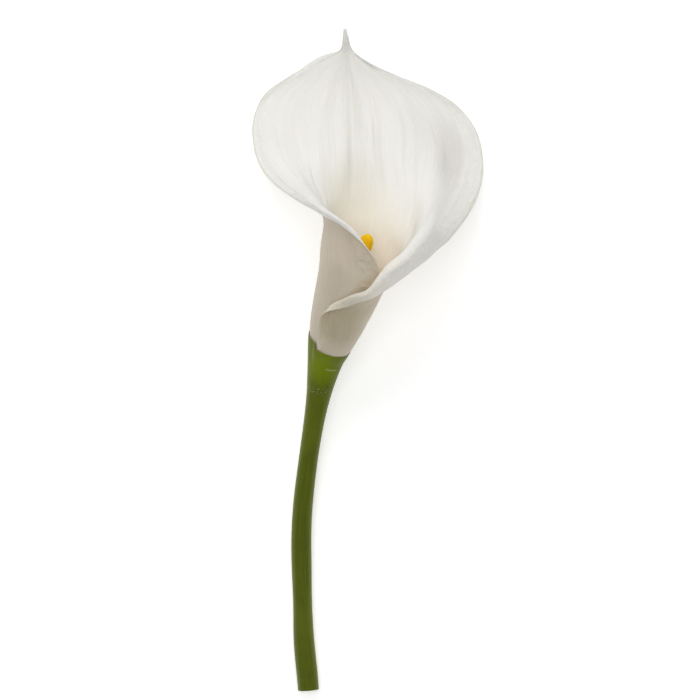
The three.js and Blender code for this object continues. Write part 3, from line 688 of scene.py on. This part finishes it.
def fibre_group():
    """Lines that run along a growing part: noise drawn out along it, in a coarse and a fine set.
    Across and Along are places on the part; Lines is how many coarse lines lie across one unit."""
    tree = bpy.data.node_groups.new("fibres", "ShaderNodeTree")
    for name, value in (("Across", 0.0), ("Along", 0.0), ("Lines", 40.0)):
        socket = tree.interface.new_socket(name, in_out="INPUT", socket_type="NodeSocketFloat")
        socket.default_value = value
    for name in ("Coarse", "Fine"):
        tree.interface.new_socket(name, in_out="OUTPUT", socket_type="NodeSocketFloat")
    n = Nodes(tree)
    given, result = n.add("NodeGroupInput").outputs, n.add("NodeGroupOutput").inputs
    for name, finer, drawn in (("Coarse", 1.0, 5.0), ("Fine", 3.7, 9.0)):
        x = n.product(given["Across"], given["Lines"], finer)
        y = n.product(given["Along"], drawn)
        tree.links.new(n.noise(n.stretched(x, y), 1.0, 2.0), result[name])
    return tree


FIBRES = fibre_group()


def new_material(name, fixed):
    """A material with a Principled shader, whose fixed inputs are given, joined to its output."""
    material = bpy.data.materials.new(name)
    material.use_nodes = True
    material.node_tree.nodes.clear()
    n = Nodes(material.node_tree)
    shader = n.add("ShaderNodeBsdfPrincipled", fixed)
    n.add("ShaderNodeOutputMaterial", {"Surface": shader.outputs[0]})
    return material, n, shader


def finish_shader(n, shader, base, rough, height, depth):
    """Joins colour, roughness and a bump of that depth in metres to the shader."""
    bump = n.add("ShaderNodeBump", {"Height": height, "Strength": 1.0, "Distance": depth})
    n.tree.links.new(base, shader.inputs["Base Color"])
    n.tree.links.new(rough, shader.inputs["Roughness"])
    n.tree.links.new(bump.outputs[0], shader.inputs["Normal"])


def white_spathe():
    """Creamy white leaf with painted light and shade in its colour. A painted glow of light through the
    walls makes it warmer and brighter deep in the throat. Painted shade makes it browner outside on the
    tube, darkest in a painted shadow band under the right flap's lip above the cup, with painted light
    on the left flap's outer face there. Painted shade greys it along the midrib's groove and beside it,
    on the throat's back wall by the midrib, on the right lip's turned-out face near the foot, in the
    trough beside the right margin and in soft streaks where folds would shade it, and painted light
    makes it paler at the tip. Its own grey-green tint lies along the margins, with fine veins and
    wrinkled margins. Along runs from 0 at the foot to 1 at the tip, across from -1 at the left margin
    to 1 at the right."""
    fixed = {"Subsurface Weight": 0.35, "Subsurface Radius": (1.0, 0.9, 0.75), "Subsurface Scale": 0.002,
             "Specular IOR Level": 0.3}
    material, n, shader = new_material("creamy_white_leaf", fixed)
    across, along, face = n.growth()
    aside = n.math("ABSOLUTE", across)
    inside = n.ramp(face, 0.4, 0.6)
    outside = n.math("SUBTRACT", 1.0, inside)
    veins = n.add("ShaderNodeGroup", {"Across": across, "Along": along, "Lines": 55.0}, node_tree=FIBRES)
    place = n.add("ShaderNodeTexCoord").outputs["Object"]

    # painted light: a warmer, brighter cream deep in the throat stands in for light shining through its walls
    painted_throat_glow = n.product(n.ramp(along, 0.54, 0.36), inside)
    # painted shade: a browner cream outside on the tube stands in for the shade on its lower face
    painted_tube_shade = n.product(n.ramp(along, 0.66, 0.46), outside)
    # painted shade: more brown low on the tube's outer face, away from the left flap
    painted_lower_tube_shade = n.product(n.ramp(along, 0.42, 0.3), n.ramp(across, -0.5, -0.2), outside)
    # painted shadow: a dark brown band on the right flap's outer face, under its rolled lip above the cup
    painted_shadow_under_lip = n.product(n.span(along, 0.115, 0.17, 0.24, 0.32), n.ramp(across, 0.5, 0.78), outside)
    # painted light: a paler cream towards the tip lifts the shade on its rounded point
    tip = n.ramp(along, 0.76, 0.95)
    # painted shade: grey along the midrib's groove
    painted_midrib_shade = n.product(n.ramp(aside, 0.12, 0.0), n.span(along, 0.42, 0.55, 0.84, 0.92))
    # painted shade: khaki grey on the throat's back wall beside the midrib
    painted_back_wall_shade = n.product(n.span(along, 0.38, 0.46, 0.5, 0.62), n.near(across, -0.05, 0.04, 0.42))
    # painted shade: darker tan on the right lip's turned-out inner face near the foot
    lip = n.product(n.ramp(along, 0.43, 0.31), n.ramp(across, 0.84, 0.9), inside)
    # painted light: a lighter cream on the left flap's outer face near its margin, against the shade of the
    # roll above
    painted_light_on_left_flap = n.product(n.span(along, 0.22, 0.3, 0.36, 0.42), n.ramp(across, -0.66, -0.86), outside)
    # painted shade: grey in the trough beside the right margin, on top of its real dip
    trough = n.product(n.span(along, 0.58, 0.63, 0.65, 0.73), n.near(across, 0.74, 0.03, 0.16))
    margin = n.product(n.ramp(aside, 0.978, 1.0), n.span(along, 0.5, 0.62, 0.86, 0.92))
    # painted shade: soft grey streaks drawn out along the leaf, laid at random, stand in for the shade of
    # folds
    drawn_out = n.noise(n.stretched(n.product(across, 11.0), n.product(along, 2.6)), 1.0)
    more_on_the_right = n.ramp(across, -0.35, 0.1, 0.12, 0.32)
    painted_fold_shade_streaks = n.product(n.ramp(drawn_out, 0.48, 0.7), n.span(along, 0.46, 0.56, 0.78, 0.9), more_on_the_right)
    # painted shade: a grey strip just right of the midrib
    painted_shade_beside_midrib = n.product(n.near(across, 0.055, 0.0, 0.05), n.span(along, 0.56, 0.68, 0.8, 0.9))
    fine_veins = n.ramp(veins.outputs["Fine"], 0.35, 0.7)

    cream = n.mix(n.noise(place, 60.0), colour(0.87, 0.853, 0.81), colour(0.905, 0.89, 0.85))
    # each tint: its mask, its strength and its colour
    base = n.tinted(cream, (
        (painted_throat_glow, 0.85, colour(0.98, 0.91, 0.79)),
        (painted_tube_shade, 1.0, colour(0.58, 0.51, 0.405)),
        (painted_lower_tube_shade, 1.0, colour(0.64, 0.555, 0.43)),
        (painted_shadow_under_lip, 0.8, colour(0.47, 0.4, 0.25)),
        (tip, 0.85, colour(0.95, 0.945, 0.89)),
        (painted_midrib_shade, 0.3, colour(0.76, 0.75, 0.69)),
        (painted_back_wall_shade, 0.5, colour(0.68, 0.65, 0.54)),
        (lip, 0.85, colour(0.68, 0.62, 0.5)),
        (painted_light_on_left_flap, 0.45, colour(0.88, 0.79, 0.64)),
        (trough, 0.75, colour(0.66, 0.65, 0.62)),
        (margin, 0.6, colour(0.6, 0.62, 0.5)),
        (painted_fold_shade_streaks, 1.0, colour(0.68, 0.67, 0.63)),
        (painted_shade_beside_midrib, 0.3, colour(0.66, 0.65, 0.61)),
        (fine_veins, 0.2, colour(0.75, 0.74, 0.66)),
    ))

    rough = n.ramp(veins.outputs["Coarse"], 0.3, 0.7, 0.42, 0.56)
    pebbles = n.product(n.noise(place, 1300.0, 2.0), 0.35)
    wrinkles = n.product(n.noise(place, 330.0, 4.0), n.ramp(aside, 0.8, 0.9, 0.5, 4.0))
    height = n.math("ADD", veins.outputs["Coarse"], n.product(veins.outputs["Fine"], 0.5))
    height = n.math("ADD", n.math("ADD", height, pebbles), wrinkles)
    finish_shader(n, shader, base, rough, height, depth=0.0003)
    return material


def green_stem():
    """Olive green skin with lengthwise fibres, yellower up the cup, and paler on its flanks with painted
    light from the sides. A short pale scar crosses the cup, specks lie in a ring under it, and the
    cut end shows pale pith. Along counts from the cut end, and across is the share of a turn from
    the front."""
    fixed = {"Subsurface Weight": 0.08, "Subsurface Scale": 0.001, "Specular IOR Level": 0.06,
             "Sheen Weight": 0.1}
    material, n, shader = new_material("olive_green_skin", fixed)
    across, along, kind = n.growth()
    fibres = n.add("ShaderNodeGroup", {"Across": across, "Along": along, "Lines": 30.0}, node_tree=FIBRES)
    place = n.add("ShaderNodeTexCoord").outputs["Object"]
    cloud = n.noise(place, 45.0, 4.0)

    pale_fibres = n.ramp(fibres.outputs["Fine"], 0.4, 0.75)
    # painted light: the skin is paler on its flanks, standing in for light wrapping round the sides of the
    # stem
    painted_light_on_flanks = n.ramp(n.math("ABSOLUTE", across), 0.07, 0.24)
    cup = n.ramp(along, 0.66, 0.79)
    scar = n.product(n.near(along, 0.768, 0.0008, 0.0028), n.near(across, 0.09, 0.03, 0.075))
    specks = n.product(n.ramp(n.noise(place, 1500.0, 1.0), 0.6, 0.68), n.near(along, 0.703, 0.004, 0.011))
    lime = n.mix(n.ramp(cloud, 0.35, 0.65), colour(0.115, 0.15, 0.001), colour(0.2, 0.27, 0.002))
    grain = n.ramp(n.noise(place, 2200.0, 2.0), 0.45, 0.65)
    pith = n.mix(grain, colour(0.55, 0.56, 0.33), colour(0.33, 0.36, 0.14))

    olive = n.mix(n.ramp(cloud, 0.3, 0.7), colour(0.07, 0.09, 0.003), colour(0.105, 0.13, 0.006))
    base = n.tinted(olive, (
        (pale_fibres, 0.5, colour(0.15, 0.18, 0.02)),
        (painted_light_on_flanks, 0.75, colour(0.2, 0.225, 0.04)),
        (cup, 0.75, lime),
        (scar, 0.6, colour(0.4, 0.46, 0.25)),
        (specks, 0.7, colour(0.42, 0.43, 0.3)),
        (n.ramp(kind, 0.6, 0.9), 1.0, colour(0.3, 0.35, 0.06)),
        (n.ramp(kind, 0.35, 0.15), 1.0, pith),
    ))

    rough = n.ramp(fibres.outputs["Coarse"], 0.3, 0.7, 0.42, 0.56)
    height = n.math("ADD", fibres.outputs["Coarse"], n.product(fibres.outputs["Fine"], 0.6))
    finish_shader(n, shader, base, rough, height, depth=0.00025)
    return material


def golden_spadix():
    """Golden florets, darker orange in the seams between them as painted shade, dusted with paler pollen,
    greener at the foot and brightest on the very tip. Kind is 1 on a floret's crown and 0 in its seams."""
    fixed = {"Subsurface Weight": 0.35, "Subsurface Radius": (1.0, 0.4, 0.1), "Subsurface Scale": 0.0015,
             "Specular IOR Level": 0.15}
    material, n, shader = new_material("golden_florets", fixed)
    _, along, crown = n.growth()
    grain = n.noise(n.add("ShaderNodeTexCoord").outputs["Object"], 1500.0)
    # painted shade: the seams between florets are darker orange, standing in for shade in those hollows
    gold_with_seam_shade = n.mix(n.ramp(crown, 0.0, 0.6), colour(0.62, 0.22, 0.001), colour(1.0, 0.62, 0.004))
    base = n.tinted(gold_with_seam_shade, (
        (n.ramp(grain, 0.5, 0.75), 0.5, colour(1.0, 0.78, 0.03)),
        (n.ramp(along, 0.25, 0.0), 0.6, colour(0.6, 0.5, 0.1)),
        (n.ramp(along, 0.98, 0.85), 0.6, colour(0.95, 0.4, 0.002)),
    ))
    finish_shader(n, shader, base, n.ramp(grain, 0.3, 0.7, 0.55, 0.75), grain, depth=0.00012)
    return material


# ------------------------------------------------------------------ the flower
for build, finish, node in (
    (build_spathe, white_spathe, "spathe"),
    (build_stem, green_stem, "stem"),
    (build_spadix, golden_spadix, "spadix"),
):
    piece = build(finish())
    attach(piece, "root")
    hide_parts(node)

# ------------------------------------------------------------------ table, lights and camera, in metres
TABLE_HALF, TABLE_DROP, TABLE_GLOW = 6.0, 0.00005, 0.38
SKY_STRENGTH = 0.31
LIGHT_AIM = np.array([0.0, 0.03, 0.03])
CAMERA_PLACE = (-0.00791, 0.004718, 1.5)
CAMERA_LENS = 167.7


def build_table():
    """A wide pale table top just under the flower. It glows a little, so it looks evenly lit."""
    mesh = bpy.data.meshes.new("pale_table")
    signs = ((-1, -1), (1, -1), (1, 1), (-1, 1))
    mesh.from_pydata([(x * TABLE_HALF, y * TABLE_HALF, -TABLE_DROP) for x, y in signs], [], [(0, 1, 2, 3)])
    fixed = {"Roughness": 0.9, "Specular IOR Level": 0.1, "Emission Color": colour(1, 1, 1),
             "Emission Strength": TABLE_GLOW}
    material, n, shader = new_material("pale_matt_table", fixed)
    place = n.add("ShaderNodeTexCoord").outputs["Object"]
    tone = n.mix(n.noise(place, 3.0), colour(0.93, 0.93, 0.93), colour(0.95, 0.95, 0.95))
    n.tree.links.new(tone, shader.inputs["Base Color"])
    mesh.materials.append(material)
    table = bpy.data.objects.new("pale_table", mesh)
    bpy.context.collection.objects.link(table)
    return table


build_table()


def soft_light(name, place, size, watts):
    """A large square light aimed at the flower and not itself seen."""
    data = bpy.data.lights.new(name, "AREA")
    data.shape, data.size, data.energy = "SQUARE", size, watts
    light = bpy.data.objects.new(name, data)
    light.location = place
    aim = LIGHT_AIM - np.array(place)
    tilt = math.acos(-aim[2] / np.linalg.norm(aim))
    light.rotation_euler = (tilt, 0.0, math.atan2(aim[1], aim[0]) - math.pi / 2)
    light.visible_camera = False
    bpy.context.collection.objects.link(light)


soft_light("key_beyond_the_tip", (-0.25, 1.5, 1.3), 0.9, 11.5)
soft_light("overhead", (-0.1, 0.2, 2.2), 1.2, 14.5)
soft_light("fill_left", (-1.7, 0.3, 1.2), 1.2, 3.0)
soft_light("fill_right", (1.7, 0.2, 1.2), 1.2, 2.0)

world = bpy.data.worlds.new("soft_daylight")
world.use_nodes = True
sky = world.node_tree.nodes["Background"]
sky.inputs["Color"].default_value = (1.0, 1.0, 1.0, 1.0)
sky.inputs["Strength"].default_value = SKY_STRENGTH
bpy.context.scene.world = world
bpy.context.scene.view_settings.view_transform = "Standard"

camera = bpy.data.objects.new("camera", bpy.data.cameras.new("camera"))
camera.data.lens = CAMERA_LENS
camera.data.clip_end = 100.0
camera.location = CAMERA_PLACE
bpy.context.collection.objects.link(camera)
bpy.context.scene.camera = camera
